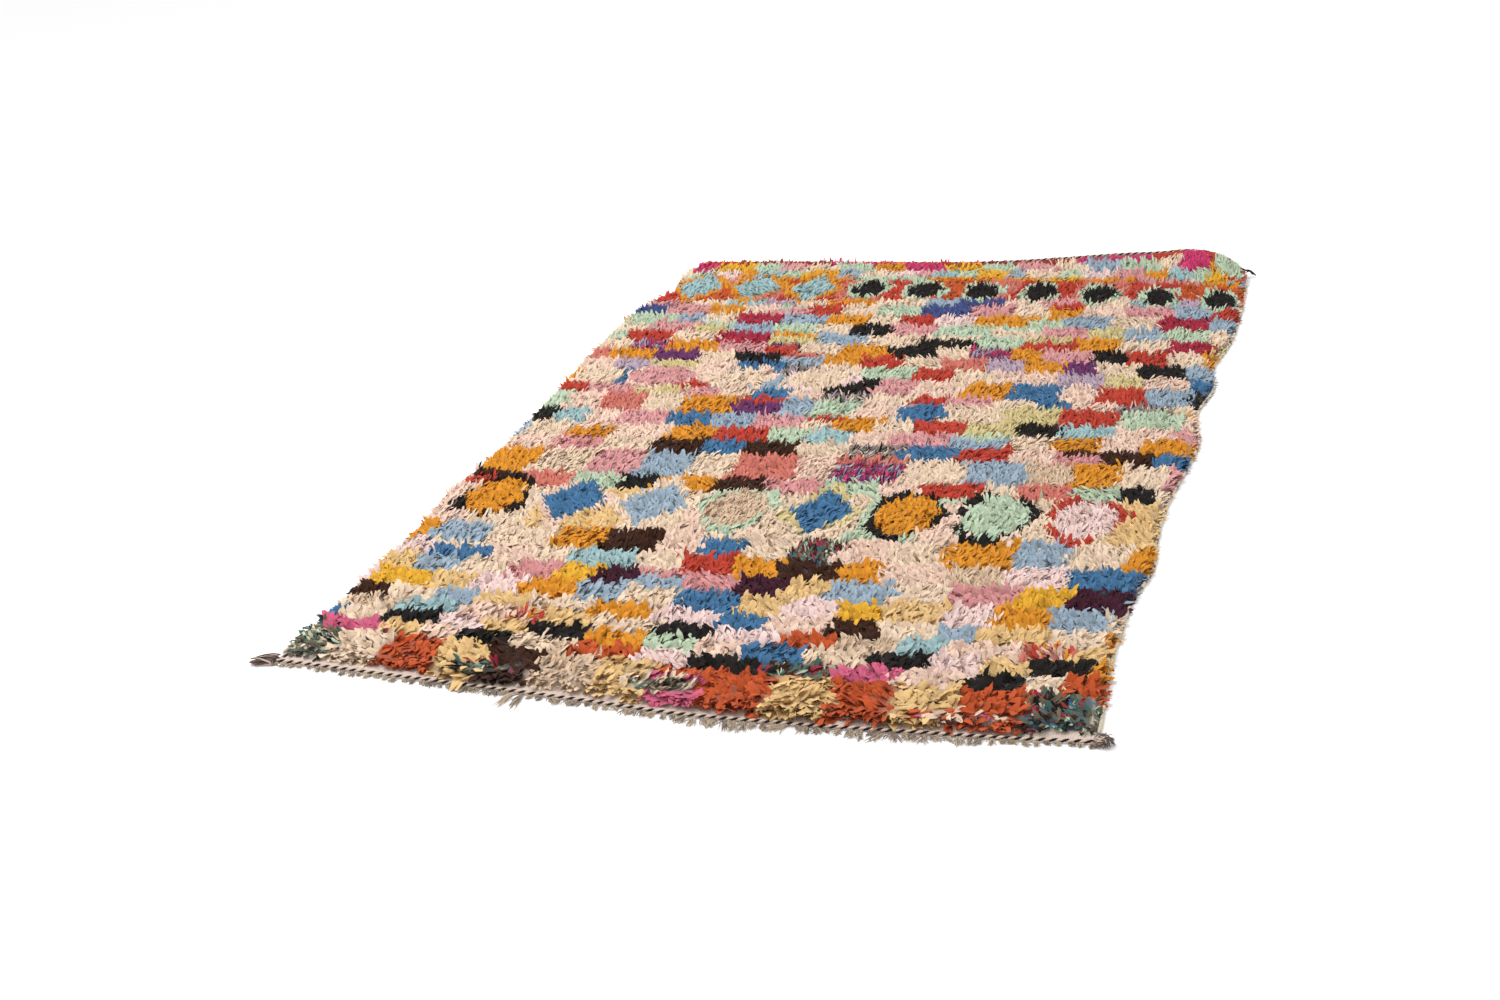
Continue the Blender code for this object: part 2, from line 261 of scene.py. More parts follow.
# Light and warmth of one strip against the next, at random, and painted shade from a strip's root to its tip:
# darkest at the root, where the pile shades it
TONES = np.array([
    (0.86, 0.83, 0.80), (0.92, 0.91, 0.90), (0.94, 0.92, 0.89), (0.98, 1.00, 1.02),
    (1.02, 1.01, 0.99), (1.05, 1.05, 1.05), (1.08, 1.06, 1.02), (1.10, 1.10, 1.11),
])
# Painted shade along each strip, from its root to its tip
PAINTED_ROOT_SHADE = np.array((0.78, 0.93, 1.00, 1.03))

# Pieces of the pile: the first knot row, the one after the last, and whether the strips are wide ones
Pile = namedtuple("Pile", "name first last wide")
PILES = (
    Pile("rag_pile_near", 0, 10, True),
    Pile("rag_pile_lower", 10, 31, False),
    Pile("rag_pile_middle", 31, 52, False),
    Pile("rag_pile_upper", 52, 74, False),
    Pile("rag_pile_far", 74, 95, False),
)


def number_field(title, description, default, low, high, **kind):
    """A number to set in the panel, with its unit as kind."""
    return bpy.props.FloatProperty(
        name=title, description=description, default=default, min=low, max=high, **kind
    )


def length_field(title, description, default, low, high):
    """A length to set in the panel."""
    return number_field(title, description, default, low, high, unit="LENGTH")


def angle_field(title, description, degrees, high):
    """An angle to set in the panel, from zero up."""
    return number_field(title, description, math.radians(degrees), 0.0, math.radians(high), subtype="ANGLE")


def colour_field(title, colour):
    """A colour to set in the panel."""
    return bpy.props.FloatVectorProperty(
        name=title,
        description=f"Colour of the {title.lower()}, as seen in daylight",
        subtype="COLOR_GAMMA",
        size=3,
        min=0.0,
        max=1.0,
        default=colour,
    )


class RugRags(bpy.types.PropertyGroup):
    """The colours of the cut rags."""

    __annotations__ = {
        rag: colour_field(rag.replace("_", " ").capitalize() + " rags", seen) for rag, seen in RAGS.items()
    }


class RugPile(bpy.types.PropertyGroup):
    """The sizes of the cut strips in the pile."""

    near_length: length_field("Near strip length", "From knot to tip, at the near end", 0.0265, 0.01, 0.06)
    far_length: length_field("Fine strip length", "From knot to tip, further up", 0.0230, 0.01, 0.06)
    near_width: length_field("Near strip width", "Width of a strip at the near end", 0.0135, 0.002, 0.03)
    far_width: length_field("Fine strip width", "Width of a strip further up", 0.0054, 0.002, 0.03)
    near_spacing: length_field("Near strip spacing", "From a wide strip to the next", 0.0019, 0.001, 0.01)
    far_spacing: length_field("Fine strip spacing", "From a fine strip to the next", 0.00104, 0.001, 0.01)
    lean: angle_field("Lean", "Mean angle of a strip from upright, where it leaves its knot", 60, 85)
    droop: angle_field("Droop", "Mean angle that a strip turns over from its knot to its tip", 29, 120)


class RugYarns(bpy.types.PropertyGroup):
    """The colours of the ground weave, cords, edges, fringe and tassel."""

    cord_dark: colour_field("Dark cord yarn", (0.10, 0.055, 0.08))
    cord_cream: colour_field("Cream cord yarn", (0.82, 0.72, 0.65))
    near_band: colour_field("Near band", (0.93, 0.84, 0.78))
    far_band: colour_field("Far band", (0.55, 0.22, 0.17))
    selvedge: colour_field("Selvedge yarn", (0.85, 0.78, 0.68))
    stitches: colour_field("Selvedge stitches", (0.34, 0.25, 0.20))
    fringe_light: colour_field("Light fringe wool", (0.70, 0.61, 0.50))
    fringe_dark: colour_field("Dark fringe wool", (0.40, 0.32, 0.24))
    brown: colour_field("Brown yarn", (0.27, 0.17, 0.11))


class RugStudio(bpy.types.PropertyGroup):
    """The floor, the light and the camera."""

    floor: colour_field("Floor", (0.96, 0.96, 0.96))
    sky: number_field("Surrounding light", "Strength of the even light from all around", 1.06, 0.0, 10.0)
    lamp: number_field("Soft lamp", "Power of the wide lamp over the rug", 110.0, 0.0, 5000.0, unit="POWER")
    camera: bpy.props.FloatVectorProperty(
        name="Camera place",
        description="Where the camera stands, from the middle of the rug",
        size=3,
        default=(1.1776, -4.0621, 1.623),
        unit="LENGTH",
    )
    lens: number_field("Lens", "Focal length of the camera", 50.0, 10.0, 200.0, subtype="DISTANCE_CAMERA")


def smooth(table, value, at):
    """A curve through a table: between two rows it is (2t3-3t2+1)a + (t3-2t2+t)wA + (3t2-2t3)b + (t3-t2)wB,
    where t is the share of the step w, a and b the two values, A and B their slopes, level at both ends."""
    xs = np.array([row[0] for row in table])
    ys = np.array([getattr(row, value) for row in table])
    slopes = np.gradient(ys, xs)
    slopes[0] = slopes[-1] = 0.0
    at = np.clip(at, xs[0], xs[-1])
    i = np.clip(np.searchsorted(xs, at, side="right") - 1, 0, len(xs) - 2)
    w = xs[i + 1] - xs[i]
    t = (at - xs[i]) / w
    low = (2 * t**3 - 3 * t**2 + 1) * ys[i] + (t**3 - 2 * t**2 + t) * w * slopes[i]
    return low + (3 * t**2 - 2 * t**3) * ys[i + 1] + (t**3 - t**2) * w * slopes[i + 1]


def on_cloth(across, along, inset=0.0):
    """Loom places to X and Y: X runs between the two sides for across from -1 to 1, and Y is along, bowed by
    near (1-s)^3 + far s^6 at the share s of the length."""
    across = np.asarray(across, float)
    along = np.asarray(along, float)
    y = along - LENGTH / 2
    left = smooth(SIDES, "left", y) + inset
    right = smooth(SIDES, "right", y) - inset
    x = left + (right - left) * (across + 1) / 2
    share = along / LENGTH
    near = smooth(ENDS, "near", x) + LENGTH / 2
    far = smooth(ENDS, "far", x) - LENGTH / 2
    return x, y + near * (1 - share) ** 3 + far * share**6


def ripple_at(x, y):
    """Height of the ripple: its lift at X times sin2 of a quarter turn from where it starts to its crest."""
    crest = smooth(RIPPLE, "crest", x)
    share = np.maximum((y - RIPPLE_FROM) / (crest - RIPPLE_FROM), 0)
    return np.maximum(smooth(RIPPLE, "lift", x), 0) * np.sin(math.pi / 2 * share) ** 2


def lay(points):
    """Flat loom points to their place: raised by the ripple, with the outline's middle at zero."""
    placed = np.array(points, float)
    placed[..., 2] += ripple_at(placed[..., 0], placed[..., 1])
    return placed - OUTLINE_MIDDLE


def end_line(along, outward, stations):
    """Points beside an end of the cloth, this far outside its edge, on the edge's own straight facets."""
    xs, ys = on_cloth(np.linspace(-1, 1, FACETS), np.full(FACETS, along), EDGE_INSET)
    x = np.linspace(xs[0], xs[-1], stations)
    way = -1 if along == 0 else 1
    return np.stack([x, np.interp(x, xs, ys) + way * outward, np.zeros(stations)], -1)


def linear(colour):
    """A colour as seen, to the linear one that a shader takes: ((c + 0.055) / 1.055)^2.4 above 0.04."""
    colour = np.asarray(colour, float)
    return np.where(colour > 0.04045, ((colour + 0.055) / 1.055) ** 2.4, colour / 12.92)


def sheet_faces(count, along, across):
    """Faces of many open grids of along by across points, numbered one grid after another."""
    point = np.arange(count * along * across).reshape(count, along, across)
    corners = [point[:, :-1, :-1], point[:, :-1, 1:], point[:, 1:, 1:], point[:, 1:, :-1]]
    return np.stack(corners, -1).reshape(-1, 4)


def tube_faces(count, along, sides):
    """Faces of many closed tubes of along rings, with an even number of sides, and their two ends."""
    point = np.arange(count * along * sides).reshape(count, along, sides)
    after = np.roll(point, -1, axis=2)
    wall = [point[:, :-1], point[:, 1:], after[:, 1:], after[:, :-1]]
    k = np.arange(sides // 2 - 1)
    cap = np.stack([k, k + 1, sides - 2 - k, sides - 1 - k], -1)
    first = point[:, 0][:, cap].reshape(-1, 4)
    last = point[:, -1][:, cap[:, ::-1]].reshape(-1, 4)
    return np.concatenate([np.stack(wall, -1).reshape(-1, 4), first, last])


def tubes(paths, radii, sides, upright=(0.0, 0.0, 1.0)):
    """Rings round many paths: path + r (cos a * side + sin a * lift) for a = 2 pi (k + 1/2) / sides."""
    paths = np.asarray(paths, float)
    ahead = np.gradient(paths, axis=1)
    ahead /= np.linalg.norm(ahead, axis=-1, keepdims=True)
    side = np.cross(ahead, np.asarray(upright, float))
    side /= np.linalg.norm(side, axis=-1, keepdims=True)
    lift = np.cross(side, ahead)
    turn = 2 * math.pi * (np.arange(sides) + 0.5) / sides
    ring = np.cos(turn)[:, None] * side[..., None, :] + np.sin(turn)[:, None] * lift[..., None, :]
    return paths[..., None, :] + np.asarray(radii)[..., None, None] * ring


def new_object(name, data):
    """An object with its data, in the scene."""
    made = bpy.data.objects.new(name, data)
    bpy.context.scene.collection.objects.link(made)
    return made


def new_piece(name, points, faces, materials, node, colours=None, maps=None, face_material=None):
    """A mesh from arrays of points and four-sided faces, none under the floor, that rides on the one body and
    takes a node's place."""
    points = np.asarray(points, np.float32).reshape(-1, 3).copy()
    points[:, 2] = np.maximum(points[:, 2], 0)
    faces = np.asarray(faces, np.int32)
    mesh = bpy.data.meshes.new(name)
    mesh.vertices.add(len(points))
    mesh.vertices.foreach_set("co", points.ravel())
    mesh.loops.add(faces.size)
    mesh.loops.foreach_set("vertex_index", faces.ravel())
    mesh.polygons.add(len(faces))
    mesh.polygons.foreach_set("loop_start", np.arange(0, faces.size, 4, dtype=np.int32))
    mesh.polygons.foreach_set("use_smooth", np.ones(len(faces), bool))
    for material in materials:
        mesh.materials.append(material)
    if face_material is not None:
        mesh.polygons.foreach_set("material_index", np.asarray(face_material, np.int32))
    mesh.update(calc_edges=True)
    if colours is not None:
        layer = mesh.color_attributes.new(name="rag", type="FLOAT_COLOR", domain="POINT")
        rgba = np.ones((len(points), 4), np.float32)
        rgba[:, :3] = np.asarray(colours).reshape(-1, 3)
        layer.data.foreach_set("color", rgba.ravel())
    for title, uv in (maps or {}).items():
        layer = mesh.uv_layers.new(name=title)
        corners = np.asarray(uv, np.float32).reshape(-1, 2)[faces.ravel()]
        layer.uv.foreach_set("vector", corners.ravel())
    piece = new_object(name, mesh)
    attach(piece, "root")
    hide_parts(node)
    return piece


def new_wool(name, paths, radii, colour, material, node, upright=(0.0, 0.0, 1.0)):
    """A piece of loose woolly yarns with four sides, each in a colour of its own."""
    points = tubes(lay(paths), radii, 4, upright)
    colours = np.broadcast_to(colour[:, None, None, :], points.shape)
    new_piece(name, points, tube_faces(*radii.shape, 4), [material], node, colours)


def new_material(name, roughness, sheen=0.0, specular=0.2):
    """A matt cloth material, with its node tree and shader."""
    material = bpy.data.materials.new(name)
    material.use_nodes = True
    tree = material.node_tree
    shader = tree.nodes["Principled BSDF"]
    shader.inputs["Roughness"].default_value = roughness
    shader.inputs["Specular IOR Level"].default_value = specular
    shader.inputs["Sheen Weight"].default_value = sheen
    shader.inputs["Sheen Roughness"].default_value = 0.6
    return material, tree, shader


def add_node(tree, kind, inputs, **settings):
    """A shader node with its settings, and each of its inputs joined to a socket or set to a value."""
    node = tree.nodes.new("ShaderNode" + kind)
    for title, value in settings.items():
        setattr(node, title, value)
    for title, value in inputs.items():
        if isinstance(value, bpy.types.NodeSocket):
            tree.links.new(value, node.inputs[title])
        else:
            node.inputs[title].default_value = value
    return node


def own_colour(tree):
    """The colour that each point of a piece carries."""
    return add_node(tree, "Attribute", {}, attribute_name="rag").outputs["Color"]


def noise(tree, scale, detail):
    """Noise on Object coordinates, for fibres, creases and patches."""
    place = add_node(tree, "TexCoord", {}).outputs["Object"]
    return add_node(tree, "TexNoise", {"Vector": place, "Scale": scale, "Detail": detail}).outputs["Fac"]


def bands(tree, scale, direction, distortion):
    """Even bands across the weave's map, for yarns lying side by side."""
    inputs = {"Scale": scale, "Distortion": distortion}
    inputs["Vector"] = add_node(tree, "UVMap", {}, uv_map="weave").outputs["UV"]
    return add_node(tree, "TexWave", inputs, bands_direction=direction).outputs["Fac"]


def finish(tree, shader, colour, factor, low, high, height, distance, strength=1.0):
    """Colours a shader, from low to high of its lightness by a factor, and raises its surface by a height."""
    grey = add_node(tree, "MapRange", {"Value": factor, "To Min": low, "To Max": high}).outputs["Result"]
    shade = add_node(tree, "VectorMath", {0: colour, "Scale": grey}, operation="SCALE")
    bump = add_node(tree, "Bump", {"Height": height, "Distance": distance, "Strength": strength})
    tree.links.new(shade.outputs["Vector"], shader.inputs["Base Color"])
    tree.links.new(bump.outputs["Normal"], shader.inputs["Normal"])


def rag_cloth():
    """Cut cotton and jersey: each strip's own colour, a fine knit and soft creases."""
    material, tree, shader = new_material("rag cloth", 0.95, 0.05, 0.1)
    knit = noise(tree, 700.0, 2.0)
    creases = {0: noise(tree, 170.0, 3.0), 1: 3.0, 2: knit}
    height = add_node(tree, "Math", creases, operation="MULTIPLY_ADD").outputs["Value"]
    finish(tree, shader, own_colour(tree), knit, 0.93, 1.07, height, 0.0010, 0.7)
    return material


def ground_cloth():
    """Flat weave: close weft bands over thicker warps, with the colour of the rags knotted through it, and
    painted shade in the grooves between the bands.
    """
    material, tree, shader = new_material("ground weave", 0.95, 0.2)
    crossed = {0: bands(tree, 150.0, "Y", 0.6), 1: bands(tree, 80.0, "X", 0.4)}
    weave = add_node(tree, "Math", crossed, operation="MULTIPLY").outputs["Value"]
    # The weave darkens the colour in its grooves, where the surface is lowest: painted shade between the bands
    finish(tree, shader, own_colour(tree), weave, 0.72, 1.08, weave, 0.0012)
    return material


def yarn(name, colour):
    """Spun yarn: its colour, darker where a fine noise is low and lighter where it is high, and a fine twist
    that the same noise raises.
    """
    material, tree, shader = new_material(name, 0.92, 0.1)
    fibres = noise(tree, 700.0, 3.0)
    finish(tree, shader, linear(colour), fibres, 0.62, 1.3, fibres, 0.0008)
    return material


def wool(name):
    """Loose wool: each lock's own colour, with uneven fibres."""
    material, tree, shader = new_material(name, 0.95, 0.35)
    fibres = noise(tree, 600.0, 3.0)
    finish(tree, shader, own_colour(tree), fibres, 0.75, 1.2, fibres, 0.0006)
    return material


def overcast(colour, stitches):
    """Overcast edge: cream wraps side by side, with a dark stitch every so often, and painted shade in the
    grooves between the wraps.
    """
    material, tree, shader = new_material("overcast selvedge", 0.95, 0.2)
    wraps = bands(tree, 90.0, "Y", 1.0)
    patches = {"Value": noise(tree, 38.0, 2.0), "From Min": 0.56, "From Max": 0.60}
    pick = add_node(tree, "MapRange", patches).outputs["Result"]
    both = {"A": (*linear(colour), 1.0), "B": (*linear(stitches), 1.0), "Factor": pick}
    mix = add_node(tree, "Mix", both, data_type="RGBA").outputs["Result"]
    # The wraps darken the colour in the grooves between them: painted shade
    finish(tree, shader, mix, wraps, 0.65, 1.1, wraps, 0.0012)
    return material


# A knot row: the X where each of its blocks ends, the number of the block, and the kind of its rags
KnotRow = namedtuple("KnotRow", "ends block kind")


def lay_out_courses(random):
    """The knot rows, course by course. A course walks round its own list of rags from a chance start, and
    passes over a rag that lies next to the same one in the course before it. The edges between blocks drift a
    little from one knot row to the next."""
    rows = []
    before_ends, before_rags = np.zeros(0), [""]
    for number, course in enumerate(COURSES):
        names = course.rags.split()
        count = int(1.7 / course.wide) + 2
        first = number == 0
        steps = course.wide * random.uniform(0.9 if first else 0.75, 1.1 if first else 1.3, count)
        ends = (-0.735 if first else -0.80 - random.uniform(0, course.wide)) + np.cumsum(steps)
        turn = 0 if first else random.integers(len(names))
        rags = []
        for middle in ends - 0.5 * course.wide:
            below = before_rags[min(np.searchsorted(before_ends, middle), len(before_rags) - 1)]
            while names[turn % len(names)] in (below, rags[-1] if rags else ""):
                turn += 1
            rags.append(names[turn % len(names)])
            turn += 1
        for k in range(course.rows):
            odd = random.random(count) < (0.12 if course.rows > 2 and k == course.rows - 1 else 0.0)
            here = [names[random.integers(len(names))] if odd[i] else rag for i, rag in enumerate(rags)]
            drift = np.cumsum(random.normal(0, 0.003, count)) * 0.4 + random.normal(0, 0.004, count)
            block = BLOCKS_A_COURSE * number + np.arange(count)
            rows.append(KnotRow(ends + drift, block, np.array([KINDS.index(rag) for rag in here])))
        before_ends, before_rags = ends, rags
    return rows


def look_up(rows, field, row, x):
    """A field of the block at each place, by its knot row and X."""
    found = np.zeros(x.shape, int)
    for r, knots in enumerate(rows):
        here = row == r
        place = np.minimum(np.searchsorted(knots.ends, x[here]), len(knots.ends) - 1)
        found[here] = getattr(knots, field)[place]
    return found


def rag_at(random, rows, row, x, along):
    """The kind of rag at a place: its course's block, then the larger shapes and their broken rims.
    An oval holds dx2 + dy2 under 1, and a diamond |dx| + |dy| under 1.18, in half widths."""
    kind = look_up(rows, "kind", row, x)
    for motifs in MOTIFS:
        for k, words in enumerate(motifs.shapes.split()):
            shape, rag, rim = words.split(":")
            wide, long = (0.5 * motifs.wide, 0.5 * motifs.long) * random.uniform(0.92, 1.08, 2)
            aside = x - motifs.first - k * motifs.step
            up = along - (motifs.along + 0.055 * (x + 0.6) * (motifs.along < 2))
            dx = np.abs(aside) / wide
            dy = np.abs(up) / long
            reach = np.hypot(dx, dy) if shape == "oval" else (dx + dy) * 0.85
            angle = np.arctan2(up, aside)
            wave = 0.16 * np.sin(3 * angle + random.uniform(0, 6)) + 0.06 * np.sin(7 * angle)
            kind[reach < motifs.rim + wave] = KINDS.index(rim)
            kind[reach < 1.0] = KINDS.index(rag)
    return kind


def tinted(context, random, kind):
    """Each strip's palette number and tone, with mixed rags drawn by their shares."""
    names = list(RAGS)
    palette = np.zeros(kind.shape, int)
    for k, name in enumerate(KINDS):
        here = kind == k
        if name in MIXED_RAGS:
            odds = np.array(list(MIXED_RAGS[name].values()), float)
            parts = np.array([names.index(part) for part in MIXED_RAGS[name]])
            palette[here] = parts[random.choice(len(parts), here.sum(), p=odds / odds.sum())]
        else:
            palette[here] = names.index(name)
    tone = random.integers(0, len(TONES), kind.shape)
    own = np.array([linear(getattr(context.scene.rug_rags, name)) for name in names])
    shade = own[:, None, :] * TONES[None, :, :]
    return palette, tone, np.clip(shade, 0, 0.95)


def rag_strips(root, heading, lean, bend, length, width, cup, twist, slant, across, taper, crumple):
    """Open strips of rag, 4 points along, and one point across for each place in across, from -1 to 1.

    The middle line is the running sum of length/3 (sin, cos) of lean + bend s, for the share s of its length.
    A point is that line + half width * taper * side * across + cup * face * (1 - |across|), where side and
    face turn about the line by twist s. The tip is cut slantwise and its corners drawn back."""
    s = np.linspace(0, 1, 4)
    turn = lean[:, None] + bend[:, None] * (s[:-1] + 1 / 6)
    step = length[:, None] / 3
    start = np.zeros((len(root), 1))
    reach = np.concatenate([start, np.cumsum(step * np.sin(turn), 1)], 1)[..., None]
    rise = np.concatenate([start, np.cumsum(step * np.cos(turn), 1)], 1)[..., None]
    flat = np.zeros_like(heading)
    ahead = np.stack([np.cos(heading), np.sin(heading), flat], -1)[:, None]
    sideways = np.stack([-np.sin(heading), np.cos(heading), flat], -1)[:, None]
    up = np.array((0.0, 0.0, 1.0))
    angle = (lean[:, None] + bend[:, None] * s)[..., None]
    normal = ahead * np.cos(angle) - up * np.sin(angle)
    tangent = ahead * np.sin(angle) + up * np.cos(angle)
    curl = (twist[:, None] * s)[..., None]
    side = np.cos(curl) * sideways + np.sin(curl) * normal
    face = np.cos(curl) * normal - np.sin(curl) * sideways
    middle = root[:, None] + reach * ahead + rise * up
    half = width[:, None, None] / 2 * np.array(taper)[:, None]
    points = middle[:, :, None] + side[:, :, None] * (half * across)[..., None]
    points += face[:, :, None] * (cup[:, None, None] * (1 - np.abs(across)))[..., None]
    cut = -(slant[:, None] * across + 0.22 * np.abs(across)) * width[:, None]
    points[:, 3] += tangent[:, 3][:, None] * cut[..., None]
    points[:, 1:] += crumple
    return points


def knot_places(random, first, last, spacing):
    """Each strip of some knot rows: its knot, its share across, its loom place along, and its X and Y.
    A knot holds STRIPS_A_KNOT strips, and the knots of a row lie on three lines in turn."""
    count = int(1.45 / spacing / STRIPS_A_KNOT)
    number = np.arange((last - first) * count)
    place = number % count
    row = first + number // count
    level = (place % 3 + random.uniform(0, 1, len(number))) / 3
    t = (place + random.uniform(0.0, 1.0, len(number))) / count * 2 - 1
    knot = np.repeat(number, STRIPS_A_KNOT)
    across = np.clip(t[knot] + random.normal(0, 0.0022, len(knot)) / HALF_WIDTH, -0.9995, 0.9995)
    along = NEAR_BAND + (row + level)[knot] * ROW_PITCH + random.normal(0, 0.0022, len(knot))
    along = np.clip(along, NEAR_BAND + 0.0005, PILE_END - 0.0005)
    x, y = on_cloth(across, along, EDGE_INSET)
    return knot, across, along, x, y


def packed_height(across, along):
    """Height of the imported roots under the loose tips: the cloth's own thickness at the bands and edges, and
    PACKED inside, with (3t2-2t3) of the way in between over 14 mm."""
    inward = np.minimum(np.minimum(along - NEAR_BAND, PILE_END - along), 0.72 * (1 - np.abs(across)))
    t = np.clip(inward / 0.014, 0, 1)
    return CLOTH_THICK + (PACKED - CLOTH_THICK) * (3 * t**2 - 2 * t**3)


def row_of(across, along):
    """The knot row at a place: its steps from the near band, less what the row climbs to the right."""
    climb = smooth(CLIMBS, "climb", along) * across * HALF_WIDTH
    return np.clip(((along - climb - NEAR_BAND) / ROW_PITCH).astype(int), 0, KNOT_ROWS - 1)


def rest_height(x, y):
    """The lowest a strip may lie: just over the weave, over the near cord, or by the floor past it."""
    past = smooth(ENDS, "near", x) - y
    over_cord = np.where(past > -0.001, 0.0082, CLOTH_THICK + 0.0008)
    return np.where(past > 2 * CORD_RADIUS + 0.001, 0.0024, over_cord)


class RUG_OT_rag_pile(bpy.types.Operator):
    """Knots the cut strips of rag, row by row, in their blocks and motifs"""

    bl_idname = "rug.rag_pile"
    bl_label = "Rag pile"

    def execute(self, context):
        random = np.random.default_rng(SEED)
        rows = lay_out_courses(random)
        cloth = rag_cloth()
        for piece in PILES:
            knot_strips(context, random, rows, piece, cloth)
        return {"FINISHED"}


def knot_strips(context, random, rows, piece, cloth):
    """One piece of the pile: strips that rise from their knots and droop over the way their block is combed,
    and outwards at the rim. A strip takes the colour of the place that it covers."""
    pile = context.scene.rug_pile
    spacing = pile.near_spacing if piece.wide else pile.far_spacing
    knot, across, along, x, y = knot_places(random, piece.first, piece.last, spacing)
    n = len(x)
    knots = knot[-1] + 1
    coarse = np.interp(along / LENGTH, (0.0, 0.05, 0.11, 0.26, 0.5), (1.0, 1.0, 0.55, 0.2, 0.0))
    length = pile.far_length + (pile.near_length - pile.far_length) * coarse
    length = length * random.uniform(0.80, 1.25, knots)[knot] * random.uniform(0.70, 1.10, n)
    to_corner = HALF_WIDTH * (1 - np.abs(across)) + along - NEAR_BAND
    length = length * np.interp(to_corner, (0.0, 0.11), (0.55, 1.0))
    width = pile.far_width + (pile.near_width - pile.far_width) * coarse
    width = width * random.uniform(0.7, 1.3, knots)[knot] * random.uniform(0.7, 1.2, n)
    block = look_up(rows, "block", row_of(across, along), x)
    nearest = 2 * BLOCKS_A_COURSE
    combed = BACKWARDS + random.normal(0, 0.42, MOST_COURSES * BLOCKS_A_COURSE)
    combed[:nearest] = BACKWARDS + random.choice((-1, 1), nearest) * random.uniform(0.4, 1.3, nearest)
    astray = np.where(random.random(knots) < 0.10, 1.8, 0.36)
    heading = combed[block] + (random.normal(0, 1, knots) * astray)[knot] + random.normal(0, 0.32, n)
    lean = pile.lean + 0.10 * coarse + random.normal(0, 0.16, knots)[knot] + random.normal(0, 0.16, n)
    droop = pile.droop + random.normal(0, 0.15, knots)[knot] + random.normal(0, 0.25, n)
    root_height = packed_height(across, along) - random.uniform(-0.001, 0.003, knots)[knot]

    at_side = 1 - np.abs(across) < SIDE_RIM
    at_near = along - NEAR_BAND < NEAR_RIM + 0.035 * random.random(n) ** 2
    at_far = along > PILE_END - FAR_RIM
    rim = at_side | at_near | at_far
    outward = np.where(across > 0, 0.0, math.pi)
    heading = np.where(at_side, outward + random.normal(0, 0.7, n), heading)
    heading = np.where(at_near, random.normal(0, 0.45, n) - BACKWARDS, heading)
    heading = np.where(at_far, BACKWARDS + random.normal(0, 0.6, n), heading)
    lean = np.where(rim, random.uniform(0.85, 1.35, n), lean)
    droop = np.where(rim, random.uniform(0.25, 0.7, n), droop)
    at_x = (-0.70, -0.60, -0.41, -0.36, -0.30, -0.25, 0.00, 0.20, 0.58, 0.68)
    overhang = np.interp(x, at_x, (1.0, 0.8, 0.8, 1.55, 1.45, 0.85, 0.95, 1.45, 1.35, 0.85))
    length = length * np.where(at_near, overhang, np.where(at_side, random.uniform(0.35, 0.80, n), 1.0))
    length = np.where(along > PILE_END - 0.024, length * 0.62, length)
    bare = np.interp(x, (0.00, 0.09, 0.42, 0.50), (0.0, 0.65, 0.65, 0.0))
    length = length * (1 - bare * np.clip(1 - (PILE_END - along) / 0.035, 0, 1))
    length = np.where(ripple_at(x, y) > 0.040, np.minimum(length, 0.018), length)

    reach = length * np.sin(lean + 0.5 * droop) * 0.62
    stray = np.where(random.random(n) < 0.04, 0.013, 0.0028)
    seen_x = x + reach * np.cos(heading) + random.normal(0, 1, n) * stray
    seen_along = along + reach * np.sin(heading) + random.normal(0, 1, n) * stray * 0.6
    kind = rag_at(np.random.default_rng(SEED), rows, row_of(across, seen_along), seen_x, seen_along)
    palette, tone, shade = tinted(context, random, kind)
    width = width * np.array([FINE_RAGS.get(name, 1.0) for name in KINDS])[kind]

    sides = np.array((-1.0, 0.0, 1.0)) if piece.wide else np.array((-1.0, 1.0))
    taper = (0.55, 0.95, 0.95, 0.42) if piece.wide else (0.70, 1.0, 0.9, 0.45)
    cup = width * random.uniform(-0.26, 0.26, n)
    crumple = random.normal(0, 1, (n, 3, len(sides), 3)) * (0.0005 + 0.0007 * coarse)[:, None, None, None]
    twist = random.normal(0, 0.45, n)
    slant = random.uniform(-0.35, 0.35, n)
    root = np.stack([x, y, root_height], -1)
    lean = np.clip(lean, 0.05, 1.4)
    points = rag_strips(
        root, heading, lean, droop, length, width, cup, twist, slant, sides, taper, crumple
    )
    points[..., 2] = np.maximum(points[..., 2], rest_height(points[..., 0], points[..., 1]))
    points = lay(points)

    # Each strip's colour, darkened towards its root by painted shade
    colour = np.broadcast_to(shade[palette, tone][:, None, None, :] * PAINTED_ROOT_SHADE[:, None, None], points.shape)
    u = (palette[:, None, None] + 0.5 + 0.3 * sides) / len(RAGS)
    v = (tone[:, None, None] + np.array((0.1, 0.37, 0.63, 0.9))[:, None]) / len(TONES)
    cells = np.stack(np.broadcast_arrays(u, v), -1)
    faces = sheet_faces(n, 4, len(sides))
    new_piece(piece.name, points, faces, [cloth], "rug_body", colour, {"OFBake": cells})


def twined(line):
    """Paths of two strands round a line, half a turn apart: line + (R - r) (0, 0.4 cos a, -0.5 sin a), where
    R is the cord's radius, r the strand's, and a runs through the cord's turns."""
    turn = 2 * math.pi * CORD_TURNS * np.linspace(0, 1, len(line))
    turn = turn + math.pi * np.array((0, 1))[:, None]
    aside = np.stack([np.zeros_like(turn), 0.4 * np.cos(turn), -0.5 * np.sin(turn)], -1)
    return line + (CORD_RADIUS - STRAND_RADII)[:, None, None] * aside


